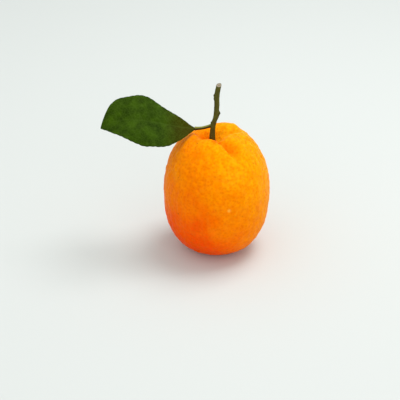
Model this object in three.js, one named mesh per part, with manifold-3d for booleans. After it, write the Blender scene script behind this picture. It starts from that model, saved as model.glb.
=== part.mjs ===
// A whole mandarin as picked: the fruit with its short twig and one leaf still on it.
// Millimetres, +Z up. The origin is the centre of the flat spot that the fruit rests on,
// the leaf reaches out to -X, and the creased side of the crown faces -Y.

import * as THREE from "three";
import { mergeVertices } from "three/addons/utils/BufferGeometryUtils.js";
import Module from "manifold-3d";

const { degToRad, radToDeg, lerp, smoothstep } = THREE.MathUtils;

// ---------------------------------------------------------------- driving dimensions

const FRUIT_RADIUS = 29.6; // at its widest
const WIDEST_HEIGHT = 36.5; // the widest ring above the table
const CROWN_RISE = 39.0; // from the widest ring to where the pole would be with no dimple
const BASE_SQUARENESS = 2.6; // exponent of the lower half's outline: 2 is an ellipse, more is boxier
const FLAT_SPOT_RADIUS = 9.5; // the face it rests on
const FLAT_SPOT_BLEND = 7.0; // height over which the rind's unevenness sets in above the table

const DIMPLE_CENTRE = new THREE.Vector2(-2.3, 0.5); // the hollow that holds the twig
const DIMPLE_DEPTH = 12.0; // below the undimpled pole
const DIMPLE_RADIUS = 8.0; // where it has lost two thirds of its depth
const DIMPLE_POWER = 2.3; // higher is a flatter floor and a steeper wall
const DIMPLE_BLEND_RADIUS = 20; // beyond this the crown is centred on the fruit again
const SEAT_RADIUS = 2.8; // flat floor of the dimple, under the calyx
const SEAT_BLEND = 2.6; // width over which the creases set in around that floor

const CALYX_LOBES = 5;
const CALYX_REACH = 2.1; // mean radius of the lobes
const CALYX_LOBE_DEPTH = 0.25; // share of the reach by which lobes and notches depart from it
const CALYX_HUB_RADIUS = 1.7;
const CALYX_HEIGHT = 1.2;

const STEM_HEIGHT = 33.0; // from the calyx to the cut end
const STEM_RADIUS = 1.4;
const STEM_FLARE = 0.25; // extra radius at its foot
const STEM_WAIST = 0.08; // how much thinner it is between its two lowest knots
const CUT_SLOPE = new THREE.Vector2(0.12, 0.4); // rise of the cut end per millimetre of X and of Y
const CUT_BLEND = 1.5; // length of twig over which its rings tilt to that slope

const STALK_START = -3.3; // X where the leaf stalk leaves its cushion on the twig
const STALK_END = -12.1; // X of the joint with the blade
const STALK_RADIUS = 0.9;
const STALK_HEIGHT = 75.2; // at the twig
const STALK_DROP = 1.5; // how far it has sunk where the blade begins
const STALK_SAG = 0.45; // below the straight line between its ends

const BUD_LENGTH = 1.8;
const BUD_RADIUS = 0.6;
const BUD_LEAN = degToRad(24); // away from the twig

const BLADE_LENGTH = 50.8; // along X, from the joint to the tip
const BLADE_THICKNESS = 0.7;
const BLADE_TILT = degToRad(58); // how far the upper face looks up, from -Y
const BLADE_FOLD = 0.17; // slope of each half where it leaves the midrib
const BLADE_ARCH = 0.0125; // how fast that slope turns down again, per millimetre
const BLADE_WAVE = 0.7; // how far the margins wave up and down
const MIDRIB_DEPTH = 0.45; // how far the midrib stands out underneath
const TOOTH_COUNT = 17; // shallow rounded teeth along each margin
const TOOTH_DEPTH = 0.22;

// ---------------------------------------------------------------- helpers

const wasm = await Module();
wasm.setup();

// A rounded rise of height 1 at offset 0, down to about a third at one width.
const bump = (offset, width) => Math.exp(-((offset / width) ** 2));

// Angle from one azimuth to another in degrees, between -180 and 180.
const turnBetween = (from, to) => ((((to - from + 180) % 360) + 360) % 360) - 180;

const azimuthOf = (point) => radToDeg(Math.atan2(point.y, point.x));

// Keeps only positions, joins shared vertices and drops triangles with no area.
function weld(geometry) {
  const bare = geometry.clone();
  bare.deleteAttribute("normal");
  bare.deleteAttribute("uv");
  const merged = mergeVertices(bare, 1e-4);
  const kept = [];
  for (let i = 0; i < merged.index.count; i += 3) {
    const [a, b, c] = merged.index.array.slice(i, i + 3);
    if (a !== b && b !== c && c !== a) kept.push(a, b, c);
  }
  merged.setIndex(kept);
  merged.computeVertexNormals();
  return merged;
}

// Moves every vertex of a geometry with a function that changes the point it is given.
function reshape(geometry, move) {
  const positions = geometry.getAttribute("position");
  const point = new THREE.Vector3();
  for (let i = 0; i < positions.count; i++) {
    point.fromBufferAttribute(positions, i);
    move(point);
    positions.setXYZ(i, point.x, point.y, point.z);
  }
  return geometry;
}

// A solid of revolution about +Z, from a profile of [radius, height] pairs that runs upwards.
function turned(profile, sides) {
  const points = profile.map(([radius, height]) => new THREE.Vector2(radius, height));
  return new THREE.LatheGeometry(points, sides).rotateX(Math.PI / 2);
}

// The point where a curve that always climbs along one axis passes a value on that axis.
function pointAt(curve, axis, value) {
  let low = 0;
  let high = 1;
  for (let i = 0; i < 24; i++) {
    const middle = (low + high) / 2;
    if (curve.getPoint(middle)[axis] < value) low = middle;
    else high = middle;
  }
  return curve.getPoint(high);
}

function curveThrough(places) {
  return new THREE.CatmullRomCurve3(places.map((place) => new THREE.Vector3(...place)));
}

function toManifold(geometry) {
  const closed = weld(geometry);
  const mesh = new wasm.Mesh({
    numProp: 3,
    vertProperties: closed.getAttribute("position").array,
    triVerts: new Uint32Array(closed.index.array),
  });
  return new wasm.Manifold(mesh);
}

function fromManifold(solid) {
  const { vertProperties, triVerts } = solid.getMesh();
  const geometry = new THREE.BufferGeometry();
  geometry.setAttribute("position", new THREE.BufferAttribute(vertProperties, 3));
  geometry.setIndex(new THREE.BufferAttribute(triVerts, 1));
  geometry.computeVertexNormals();
  return geometry;
}

function piece(name, geometry, color, roughness) {
  const material = new THREE.MeshStandardMaterial({ color, roughness, metalness: 0 });
  const mesh = new THREE.Mesh(geometry, material);
  mesh.name = name;
  return mesh;
}

// ---------------------------------------------------------------- fruit

// Lower half: a squarish oval that would reach this far down, cut off at the flat spot.
const flatShare = (FLAT_SPOT_RADIUS / FRUIT_RADIUS) ** BASE_SQUARENESS;
const BASE_DROP = WIDEST_HEIGHT / (1 - flatShare) ** (1 / BASE_SQUARENESS);

// Upper half: half an ellipse with a funnel-shaped dimple taken from its pole.
function crownHeight(radius) {
  const dome = WIDEST_HEIGHT + CROWN_RISE * Math.sqrt(1 - (radius / FRUIT_RADIUS) ** 2);
  return dome - DIMPLE_DEPTH * Math.exp(-((radius / DIMPLE_RADIUS) ** DIMPLE_POWER));
}

const SEAT_HEIGHT = crownHeight(SEAT_RADIUS);

// Creases that run out from the dimple between the fruit's lobes. Azimuths are in degrees from
// +X towards +Y, at the radius where the crease is deepest (peak); swing is how far the crease
// turns over one reach. The near wall, towards lower azimuth, and the far wall have own widths.
const CREASES = [
  { azimuth: -65.6, swing: 6, depth: 3.8, nearWidth: 1.9, farWidth: 4.2, peak: 15.5, reach: 4.8 },
  { azimuth: -76, swing: -4, depth: 1.7, nearWidth: 0.9, farWidth: 1.2, peak: 10.2, reach: 2.3 },
  { azimuth: -128, swing: 0, depth: 1.2, nearWidth: 1.3, farWidth: 1.0, peak: 6.6, reach: 2.2 },
  { azimuth: 18, swing: 13, depth: 2.9, nearWidth: 3.0, farWidth: 3.0, peak: 11.5, reach: 4.8 },
  { azimuth: 158, swing: 6, depth: 2.0, nearWidth: 4.0, farWidth: 2.4, peak: 8, reach: 5 },
  { azimuth: 100, swing: 0, depth: 0.9, nearWidth: 2.6, farWidth: 2.6, peak: 9, reach: 6 },
  { azimuth: -150, swing: 0, depth: 0.6, nearWidth: 2.4, farWidth: 2.4, peak: 10, reach: 5 },
];

// Broad rises (+) and sinks (-) of the shoulder round the dimple.
const SHOULDERS = [
  { azimuth: 130, spread: 44, rise: -2.4, peak: 10, reach: 8 },
  { azimuth: 54, spread: 20, rise: 1.1, peak: 14.5, reach: 5 },
  { azimuth: -102, spread: 24, rise: 2.0, peak: 7.5, reach: 3.4 },
  { azimuth: -22, spread: 26, rise: 1.6, peak: 7, reach: 3 },
  { azimuth: 175, spread: 30, rise: 0.5, peak: 22, reach: 5 },
];

// Faint ribs of the segments under the peel, and the slow unevenness of the whole fruit.
const RIBS = { count: 9, relief: 0.18, peak: 14, reach: 8 };
const UNEVENNESS = 0.15;

// How far creases, shoulders and ribs move the crown's surface out, in millimetres.
function crownRelief(azimuth, radius) {
  let relief = RIBS.relief * Math.cos(degToRad(azimuth) * RIBS.count) * bump(radius - RIBS.peak, RIBS.reach);
  for (const crease of CREASES) {
    const along = (radius - crease.peak) / crease.reach;
    const across = degToRad(turnBetween(crease.azimuth + crease.swing * along, azimuth)) * radius;
    const width = across < 0 ? crease.nearWidth : crease.farWidth;
    relief -= crease.depth * bump(across, width) * bump(along, 1);
  }
  for (const shoulder of SHOULDERS) {
    const around = bump(turnBetween(shoulder.azimuth, azimuth), shoulder.spread);
    relief += shoulder.rise * around * bump(radius - shoulder.peak, shoulder.reach);
  }
  return relief;
}

// How far the whole rind stands out of the plain turned shape. Both flat faces stay flat.
function rindRelief(azimuth, radius, height) {
  const turn = degToRad(azimuth);
  const climb = height - WIDEST_HEIGHT;
  const threefold = Math.sin(3 * turn - 2.3) * Math.cos(climb / 11 + 2.7);
  const twofold = Math.sin(2 * turn - 1.1) * Math.sin(climb / 14 + 2.1);
  const uneven = UNEVENNESS * (threefold + twofold);
  if (climb <= 0) return uneven * smoothstep(height, 0, FLAT_SPOT_BLEND);
  const offSeat = smoothstep(radius, SEAT_RADIUS, SEAT_RADIUS + SEAT_BLEND);
  return (uneven + crownRelief(azimuth, radius)) * offSeat;
}

function rindProfile(lowerSteps, upperSteps) {
  const power = 2 / BASE_SQUARENESS;
  const footAngle = Math.asin((WIDEST_HEIGHT / BASE_DROP) ** (1 / power));
  const profile = [[0, 0], [FLAT_SPOT_RADIUS, 0]];
  for (let i = 1; i <= lowerSteps; i++) {
    const angle = footAngle * (1 - i / lowerSteps);
    const height = WIDEST_HEIGHT - BASE_DROP * Math.sin(angle) ** power;
    profile.push([FRUIT_RADIUS * Math.cos(angle) ** power, height]);
  }
  const seatAngle = Math.acos(SEAT_RADIUS / FRUIT_RADIUS);
  for (let i = 1; i <= upperSteps; i++) {
    const radius = FRUIT_RADIUS * Math.cos((seatAngle * i) / upperSteps);
    profile.push([radius, crownHeight(radius)]);
  }
  profile.push([0, SEAT_HEIGHT]);
  return profile;
}

function fruit() {
  const core = new THREE.Vector3(0, 0, WIDEST_HEIGHT);
  const geometry = reshape(turned(rindProfile(13, 22), 84), (point) => {
    const radius = Math.hypot(point.x, point.y);
    const outward = point.clone().sub(core).normalize();
    point.addScaledVector(outward, rindRelief(azimuthOf(point), radius, point.z));
    if (point.z > WIDEST_HEIGHT) {
      const share = 1 - smoothstep(radius, SEAT_RADIUS + 1, DIMPLE_BLEND_RADIUS);
      point.x += DIMPLE_CENTRE.x * share;
      point.y += DIMPLE_CENTRE.y * share;
    }
  });
  return piece("fruit", weld(geometry), 0xf27c05, 0.42);
}

// ---------------------------------------------------------------- calyx

// A low star that lies on the dimple's floor and carries the twig on its hub.
function calyx() {
  const profile = [
    [0, 0],
    [CALYX_REACH, 0],
    [CALYX_REACH * 1.02, CALYX_HEIGHT * 0.3],
    [CALYX_HUB_RADIUS * 1.1, CALYX_HEIGHT * 0.55],
    [CALYX_HUB_RADIUS, CALYX_HEIGHT],
    [0, CALYX_HEIGHT],
  ];
  const geometry = reshape(turned(profile, 40), (point) => {
    const radius = Math.hypot(point.x, point.y);
    const wave = Math.cos(CALYX_LOBES * Math.atan2(point.y, point.x) + 0.6);
    const outer = smoothstep(radius, CALYX_HUB_RADIUS * 1.05, CALYX_REACH);
    const stretch = 1 + CALYX_LOBE_DEPTH * outer * wave;
    point.set(point.x * stretch, point.y * stretch, point.z);
  });
  geometry.translate(DIMPLE_CENTRE.x, DIMPLE_CENTRE.y, SEAT_HEIGHT);
  return piece("calyx", weld(geometry), 0x5a3c14, 0.8);
}

// ---------------------------------------------------------------- stem

// The twig's middle line: its place on the fruit at each height above the calyx.
const STEM_LINE = curveThrough([
  [DIMPLE_CENTRE.x, DIMPLE_CENTRE.y, 0],
  [-2.3, 0.5, 8],
  [-1.5, 0.6, 12],
  [-0.65, 0.9, 15.4],
  [-0.15, 1.3, 20.7],
  [0.0, 1.8, 27.5],
  [0.95, 2.0, STEM_HEIGHT],
]);

// The cushion's face is flat where the leaf stalk starts; below it the heel stands out further.
const HEEL_REACH = 1.3;
const HEEL_BELOW_CUSHION = [5.5, 8.4];

// Swellings of the twig: its heel, the cushion that carries the leaf stalk, then leaf scars.
const KNOTS = [
  { azimuth: 180, height: 2.8, rise: 0.4, length: 2.6, spread: 60 },
  { azimuth: 180, height: 10.0, rise: 0.8, length: 1.5, spread: 50 },
  { azimuth: 5, height: 15.0, rise: 0.4, length: 1.8, spread: 60 },
  { azimuth: -5, height: 17.0, rise: 0.8, length: 1.1, spread: 60 },
  { azimuth: 80, height: 22.0, rise: 0.6, length: 1.1, spread: 50 },
  { azimuth: 170, height: 25.2, rise: 0.4, length: 0.8, spread: 45 },
  { azimuth: 185, height: 27.1, rise: 0.5, length: 0.8, spread: 45 },
];

function stemRadius(height, azimuth) {
  const flare = STEM_FLARE * Math.exp(-height / 1.4);
  const waist = STEM_WAIST * bump(height - 13, 3);
  let radius = STEM_RADIUS + flare - waist;
  for (const knot of KNOTS) {
    const around = bump(turnBetween(knot.azimuth, azimuth), knot.spread);
    radius += knot.rise * bump(height - knot.height, knot.length) * around;
  }
  return radius;
}

// The small pointed bud in the angle between the twig and the leaf stalk.
function sideBud() {
  const profile = [
    [0, 0],
    [BUD_RADIUS * 0.8, BUD_LENGTH * 0.1],
    [BUD_RADIUS, BUD_LENGTH * 0.35],
    [BUD_RADIUS * 0.7, BUD_LENGTH * 0.7],
    [BUD_RADIUS * 0.25, BUD_LENGTH * 0.94],
    [0, BUD_LENGTH],
  ];
  const bud = turned(profile, 12).rotateY(-BUD_LEAN);
  return bud.translate(STALK_START + 0.7, DIMPLE_CENTRE.y, STALK_HEIGHT + 0.8);
}

// The twig keeps to +X of the plane where the leaf stalk begins.
function stem() {
  const rings = 42;
  const profile = [[0, 0]];
  for (let i = 0; i <= rings; i++) profile.push([1, (STEM_HEIGHT * i) / rings]);
  profile.push([0, STEM_HEIGHT]);
  const twig = reshape(turned(profile, 16), (point) => {
    const middle = pointAt(STEM_LINE, "z", point.z);
    const radius = stemRadius(point.z, azimuthOf(point));
    const across = new THREE.Vector2(point.x, point.y).multiplyScalar(radius);
    const tilt = smoothstep(point.z, STEM_HEIGHT - CUT_BLEND, STEM_HEIGHT);
    const flat = STALK_START - HEEL_REACH * (1 - smoothstep(point.z, ...HEEL_BELOW_CUSHION));
    point.x = Math.max(flat, middle.x + across.x);
    point.y = middle.y + across.y;
    point.z += SEAT_HEIGHT + CALYX_HEIGHT + across.dot(CUT_SLOPE) * tilt;
  });
  const whole = toManifold(twig).add(toManifold(sideBud()));
  return piece("stem", fromManifold(whole), 0x4b4a19, 0.75);
}

// ---------------------------------------------------------------- leaf stalk

const BLADE_JOINT = new THREE.Vector3(STALK_END, 0, STALK_HEIGHT - STALK_DROP);

function leafStalk() {
  const length = STALK_START - STALK_END;
  const rings = 14;
  const profile = [[0, 0]];
  for (let i = 0; i <= rings; i++) {
    const along = i / rings;
    const collar = 0.22 * Math.exp(-along * 7) + 0.3 * Math.exp(-(1 - along) * 9);
    profile.push([STALK_RADIUS + collar, along * length]);
  }
  profile.push([0, length]);
  const geometry = turned(profile, 14).rotateY(-Math.PI / 2);
  reshape(geometry, (point) => {
    const along = -point.x / length;
    point.x += STALK_START;
    point.y += lerp(DIMPLE_CENTRE.y, BLADE_JOINT.y, along);
    point.z += lerp(STALK_HEIGHT, BLADE_JOINT.z, along) - STALK_SAG * Math.sin(Math.PI * along);
  });
  return piece("leaf_stalk", weld(geometry), 0x7d8438, 0.6);
}

// ---------------------------------------------------------------- leaf blade

// The blade's own axes: across its width, uphill, and out of its upper face.
const UPHILL = new THREE.Vector3(0, Math.sin(BLADE_TILT), Math.cos(BLADE_TILT));
const UPPER_FACE = new THREE.Vector3(0, -Math.cos(BLADE_TILT), Math.sin(BLADE_TILT));

// Midrib from the joint to the tip: share of the length, then place in Y and Z.
const MIDRIB = curveThrough([
  [0, 0, 0],
  [0.12, -0.1, 0.8],
  [0.3, -0.55, 2.7],
  [0.5, -1.2, 5.1],
  [0.7, -2.0, 6.4],
  [0.88, -2.8, 5.3],
  [0.96, -3.2, 3.4],
  [1, -3.4, 2.0],
]);

// Half widths of the blade on each side of the midrib: share of the length, millimetres.
const UPHILL_MARGIN = curveThrough([
  [0, 0.6, 0],
  [0.03, 1.4, 0],
  [0.2, 6.9, 0],
  [0.4, 12.6, 0],
  [0.52, 15.5, 0],
  [0.6, 16.2, 0],
  [0.7, 15.6, 0],
  [0.8, 14.8, 0],
  [0.88, 12.2, 0],
  [0.94, 8.0, 0],
  [0.98, 3.4, 0],
  [1, 0.4, 0],
]);
const DOWNHILL_MARGIN = curveThrough([
  [0, 0.8, 0],
  [0.03, 2.6, 0],
  [0.12, 7.3, 0],
  [0.2, 10.4, 0],
  [0.3, 13.9, 0],
  [0.4, 15.5, 0],
  [0.5, 15.9, 0],
  [0.6, 14.7, 0],
  [0.7, 12.8, 0],
  [0.8, 10.0, 0],
  [0.88, 7.3, 0],
  [0.94, 4.2, 0],
  [1, 0.4, 0],
]);

// A point of the blade's middle surface. share runs from the joint to the tip; side is -1 at the
// downhill margin, 0 on the midrib and 1 at the uphill margin.
function bladePoint(share, side) {
  const rib = pointAt(MIDRIB, "x", share);
  const margin = side > 0 ? UPHILL_MARGIN : DOWNHILL_MARGIN;
  const ends = Math.max(0, Math.sin(Math.PI * share)) ** 0.3;
  const notch = 1 - Math.abs(Math.sin(Math.PI * TOOTH_COUNT * share));
  const width = pointAt(margin, "x", share).y - TOOTH_DEPTH * notch * side ** 4 * ends;
  const across = Math.abs(side) * width;
  const fold = BLADE_FOLD * across - BLADE_ARCH * across ** 2;
  const wave = BLADE_WAVE * Math.sin(15 * share + (side > 0 ? 0 : 1.9)) * side ** 2 * ends;
  const lift = (fold + wave) * smoothstep(share, 0, 0.12);
  const point = new THREE.Vector3(-rib.x * BLADE_LENGTH, rib.y, rib.z).add(BLADE_JOINT);
  return point.addScaledVector(UPHILL, Math.sign(side) * across).addScaledVector(UPPER_FACE, lift);
}

// Upper and lower skins share one pattern of triangles and are closed by a rim all round.
function leafBlade() {
  const lengthSteps = 56;
  const sideSteps = 14;
  const vertices = [];
  for (let i = 0; i <= lengthSteps; i++) {
    const even = i / lengthSteps;
    const share = even - 0.06 * Math.sin(2 * Math.PI * even);
    const midrib = bladePoint(share, 0);
    const ribDepth = lerp(MIDRIB_DEPTH, 0.1, even);
    const ribWidth = lerp(1.1, 0.5, even);
    for (let j = 0; j <= sideSteps; j++) {
      const step = (2 * j) / sideSteps - 1;
      const middle = bladePoint(share, Math.sign(step) * Math.abs(step) ** 1.25);
      const depth = BLADE_THICKNESS / 2 + ribDepth * bump(middle.distanceTo(midrib), ribWidth);
      const above = middle.clone().addScaledVector(UPPER_FACE, BLADE_THICKNESS / 2);
      const below = middle.clone().addScaledVector(UPPER_FACE, -depth);
      vertices.push(...above.toArray(), ...below.toArray());
    }
  }

  const faces = [];
  const upper = (i, j) => 2 * (i * (sideSteps + 1) + j);
  const lower = (i, j) => upper(i, j) + 1;
  const triangle = (a, b, c) => faces.push(a, b, c);
  const rim = (i, j, nextI, nextJ) => {
    triangle(upper(i, j), upper(nextI, nextJ), lower(nextI, nextJ));
    triangle(upper(i, j), lower(nextI, nextJ), lower(i, j));
  };
  for (let i = 0; i < lengthSteps; i++) {
    for (let j = 0; j < sideSteps; j++) {
      triangle(upper(i, j), upper(i + 1, j + 1), upper(i + 1, j));
      triangle(upper(i, j), upper(i, j + 1), upper(i + 1, j + 1));
      triangle(lower(i, j), lower(i + 1, j), lower(i + 1, j + 1));
      triangle(lower(i, j), lower(i + 1, j + 1), lower(i, j + 1));
    }
    rim(i, 0, i + 1, 0);
    rim(i + 1, sideSteps, i, sideSteps);
  }
  for (let j = 0; j < sideSteps; j++) {
    rim(0, j + 1, 0, j);
    rim(lengthSteps, j, lengthSteps, j + 1);
  }

  const geometry = new THREE.BufferGeometry();
  geometry.setAttribute("position", new THREE.Float32BufferAttribute(vertices, 3));
  geometry.setIndex(faces);
  geometry.computeVertexNormals();
  return piece("leaf_blade", geometry, 0x3d5a14, 0.5);
}

// ---------------------------------------------------------------- the whole mandarin

const mandarin = new THREE.Group();
mandarin.add(fruit(), calyx(), stem(), leafStalk(), leafBlade());

export default mandarin;
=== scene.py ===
# %% [markdown]
# # A mandarin with its twig and leaf
# The fruit stands on its blossom end, and a short twig with one leaf is still on it.
# The solids that carry everything are already there as the frame. This lesson lays a finer
# skin over each of them: pitted rind, dry calyx, warty bark, a grooved stalk and a veined leaf.
# Lengths are worked out in millimetres, as a gardener would measure them, and become metres
# only when a mesh is made.

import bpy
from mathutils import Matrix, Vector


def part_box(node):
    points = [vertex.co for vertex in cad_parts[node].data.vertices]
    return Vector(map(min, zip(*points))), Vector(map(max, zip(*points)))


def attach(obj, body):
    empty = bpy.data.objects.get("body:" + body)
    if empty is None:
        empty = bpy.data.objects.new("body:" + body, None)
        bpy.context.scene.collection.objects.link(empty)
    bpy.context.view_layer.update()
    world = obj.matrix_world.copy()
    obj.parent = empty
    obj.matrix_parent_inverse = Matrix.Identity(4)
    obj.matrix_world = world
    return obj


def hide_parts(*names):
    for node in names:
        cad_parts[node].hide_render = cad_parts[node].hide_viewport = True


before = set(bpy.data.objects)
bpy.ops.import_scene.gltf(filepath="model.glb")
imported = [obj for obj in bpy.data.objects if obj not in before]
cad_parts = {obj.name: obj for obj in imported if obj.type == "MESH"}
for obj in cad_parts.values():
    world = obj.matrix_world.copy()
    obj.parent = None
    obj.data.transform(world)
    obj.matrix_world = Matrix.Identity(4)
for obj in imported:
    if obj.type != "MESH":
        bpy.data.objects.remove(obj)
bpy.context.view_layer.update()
print("solids in the frame:", sorted(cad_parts))

# %% Imports and the millimetre
import itertools
import math

import bpy
import numpy as np
from mathutils import Vector

MM = 0.001  # metres


def box_mm(node):
    """Lowest and highest corner of a solid of the frame, in millimetres."""
    low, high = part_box(node)
    return np.array(low) / MM, np.array(high) / MM


print("fruit from", *(np.round(corner, 1) for corner in box_mm("fruit")))

# %% [markdown]
# ## Small tools for shapes
# Everything grown is round-edged, so two curves do most of the work here: a bump, which is a
# soft hill of height 1, and a smoothstep, which is a soft stair from 0 to 1. Both take whole
# arrays, so one call shapes a hundred thousand points at once. That is much faster than moving
# vertices one by one, and the formula stays readable.


# %% Bump, smoothstep and turns
def bump(offset, width):
    """A soft hill: e to the power of minus the square of offset over width."""
    return np.exp(-((offset / width) ** 2))


def smoothstep(value, low, high):
    """A soft stair from 0 at low to 1 at high: three t squared less two t cubed."""
    share = np.clip((value - low) / (high - low), 0, 1)
    return share * share * (3 - 2 * share)


def turn_between(start, end):
    """Degrees from one direction round to another, between -180 and 180."""
    return (end - start + 180) % 360 - 180


def azimuths(columns):
    """Evenly spread directions round the fruit, in degrees from +X towards +Y, as one row."""
    return np.linspace(0, 360, columns, endpoint=False)[None, :]


def azimuths_out(columns):
    """Cosines and sines of the same directions."""
    turn = np.radians(azimuths(columns))
    return np.cos(turn), np.sin(turn)


def places(x, y, z):
    """Points out of their three coordinates, which may be numbers, rows, columns or grids."""
    return np.stack(np.broadcast_arrays(x, y, z), axis=-1)


def hills(table, azimuth, along):
    """The hills of a table, added up: for each, a bump round the piece times one along it."""
    return sum(
        hill["rise"] * bump(turn_between(hill["azimuth"], azimuth), hill["spread"])
        * bump(along - hill["peak"], hill["reach"])
        for hill in table
    )


print("bump at 0, 1 and 2 widths:", np.round(bump(np.array([0, 1, 2]), 1), 2))

# %% [markdown]
# ## Scattered seeds and slow noise
# Rind and bark carry small things that are scattered but never regular. One seed is dropped at
# a drawn place in each small cube of space, and the distance to the nearest seed gives pits or
# warts. For slow swelling, random values on a coarse lattice are blended into each other. Both
# draw from a numbered generator, so the fruit is the same at every run.


# %% Distance to scattered seeds, and slow noise
LATTICE = 64  # drawn values repeat after this many cells


def nearest_seed(points, cell, seed):
    """Distance from each point to the nearest seed, with one seed at random in each cube.

    Only the seeds of the point's own cube and of the 26 round it can be the nearest.
    """
    drawn = np.random.default_rng(seed).random((LATTICE, LATTICE, LATTICE, 3))
    home = np.floor(points / cell).astype(int)
    nearest = np.full(points.shape[:-1], np.inf)
    for step in itertools.product((-1, 0, 1), repeat=3):
        cube = home + step
        seeds = (cube + drawn[tuple(np.moveaxis(cube % LATTICE, -1, 0))]) * cell
        nearest = np.minimum(nearest, np.linalg.norm(points - seeds, axis=-1))
    return nearest


def slow_noise(points, cell, seed):
    """Smooth noise from -1 to 1: random values on a cubic lattice, blended by smoothstep."""
    drawn = np.random.default_rng(seed).uniform(-1, 1, (LATTICE, LATTICE, LATTICE))
    home = np.floor(points / cell).astype(int)
    share = smoothstep(points / cell - home, 0, 1)
    total = np.zeros(points.shape[:-1])
    for step in itertools.product((0, 1), repeat=3):
        corner = (home + step) % LATTICE
        weight = np.prod(np.where(np.array(step) == 1, share, 1 - share), axis=-1)
        total += weight * drawn[tuple(np.moveaxis(corner, -1, 0))]
    return total


print("noise at one point:", slow_noise(np.zeros((1, 3)) + 0.3, 1.0, 1).round(3))

# %% [markdown]
# ## Smooth lines and closed skins
# The twig, the stalk and the leaf's midrib follow lines that are given as a few points
# each. A cubic through the points gives a smooth line. A skin is then a stack of rings of
# points: neighbours make quads, and one point closes each end. All pieces here are such
# stacks, so one helper makes every mesh and its faces always point outwards.


# %% A smooth line through points
def smooth_line(points, samples=800):
    """Points along a cubic through the given ones, which runs straight past both ends.

    Each tangent weighs its two neighbours by the square roots of their distances, so the line
    does not loop where the points stand unevenly.
    """
    points = np.asarray(points, float)
    first, last = 2 * points[0] - points[1], 2 * points[-1] - points[-2]
    padded = np.vstack([first, points, last])
    gap = np.sqrt(np.linalg.norm(np.diff(padded, axis=0), axis=1))[:, None]
    place = np.linspace(0, len(points) - 1, samples)
    stretch = np.minimum(place.astype(int), len(points) - 2)
    t = (place - stretch)[:, None]
    before, start, end, after = (padded[stretch + k] for k in range(4))
    gap_before, gap_here, gap_after = (gap[stretch + k] for k in range(3))
    across = (end - start) / gap_here
    leave = (start - before) / gap_before - (end - before) / (gap_before + gap_here) + across
    arrive = across - (after - start) / (gap_here + gap_after) + (after - end) / gap_after
    leave, arrive = leave * gap_here, arrive * gap_here
    bend = 3 * (end - start) - 2 * leave - arrive
    curl = 2 * (start - end) + leave + arrive
    return start + leave * t + bend * t**2 + curl * t**3


def read_line(line, axis, at, wanted):
    """One coordinate of a line where another one, which always climbs, has a given value."""
    return np.interp(at, line[:, axis], line[:, wanted])


def spread_evenly(radius, height, count):
    """The same profile as points that are one length apart, as columns of radius and height."""
    length = np.append(0, np.cumsum(np.hypot(np.diff(radius), np.diff(height))))
    even = np.linspace(0, length[-1], count)
    return np.interp(even, length, radius)[:, None], np.interp(even, length, height)[:, None]


# %% A closed skin over rings of points
def new_object(name, data):
    """Puts a mesh, a lamp or a camera into the scene."""
    thing = bpy.data.objects.new(name, data)
    bpy.context.scene.collection.objects.link(thing)
    return thing


def closed_skin(name, rings, foot=None, tip=None):
    """A mesh over rings of points in millimetres, closed by a point at each end.

    Four neighbours make a quad and the last column joins the first. The faces point outwards
    when each ring runs counterclockwise, seen from the tip. An end point that isn't given is
    the middle of the last ring there.
    """
    foot = rings[0].mean(axis=0) if foot is None else foot
    tip = rings[-1].mean(axis=0) if tip is None else tip
    rows, columns = rings.shape[:2]
    index = np.arange(rows * columns).reshape(rows, columns)
    beside = np.roll(index, -1, axis=1)
    quads = np.stack([index[:-1], beside[:-1], beside[1:], index[1:]], axis=-1).reshape(-1, 4)
    foot_ids, tip_ids = np.full(columns, rows * columns), np.full(columns, rows * columns + 1)
    foot_fan = np.stack([beside[0], index[0], foot_ids], axis=-1)
    tip_fan = np.stack([index[-1], beside[-1], tip_ids], axis=-1)
    points = np.vstack([rings.reshape(-1, 3), foot, tip]) * MM
    mesh = bpy.data.meshes.new(name)
    faces = [*quads.tolist(), *foot_fan.tolist(), *tip_fan.tolist()]
    mesh.from_pydata(points.tolist(), [], faces)
    mesh.shade_smooth()
    print(f"{name}: {len(points)} points, {2 * len(quads) + 2 * columns} triangles")
    return new_object(name, mesh)


def paint_values(piece, name, values, foot=0.0, tip=0.0):
    """Stores one number for each point, given for the rings and then for the two end points."""
    attribute = piece.data.attributes.new(name, "FLOAT", "POINT")
    attribute.data.foreach_set("value", np.append(values.ravel(), [foot, tip]).astype(np.float32))


def paint_places(piece, name, places):
    """Stores a place in metres for each point of the rings; the end points copy a neighbour's."""
    flat = places.reshape(-1, 3)
    flat = np.vstack([flat, flat[:1], flat[-1:]]) * MM
    attribute = piece.data.attributes.new(name, "FLOAT_VECTOR", "POINT")
    attribute.data.foreach_set("vector", flat.astype(np.float32).ravel())


def outward(rings):
    """Arrows of length 1 out of a skin: round the ring crossed with along the rows."""
    around = np.roll(rings, -1, axis=1) - np.roll(rings, 1, axis=1)
    along = np.gradient(rings, axis=0)
    arrows = np.cross(around, along)
    return arrows / np.maximum(np.linalg.norm(arrows, axis=-1, keepdims=True), 1e-9)


# %% [markdown]
# ## The fruit's outline
# A mandarin is a turned shape that has been spoilt a little. Its lower half is a squarish oval
# that stands on a flat spot, its crown is half an ellipse, and a funnel-shaped dimple in the
# crown holds the twig. The outline is worked out as radius and height, then spread evenly, so
# that all quads of the skin are about alike and the pits can be as fine at the base as on top.

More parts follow.
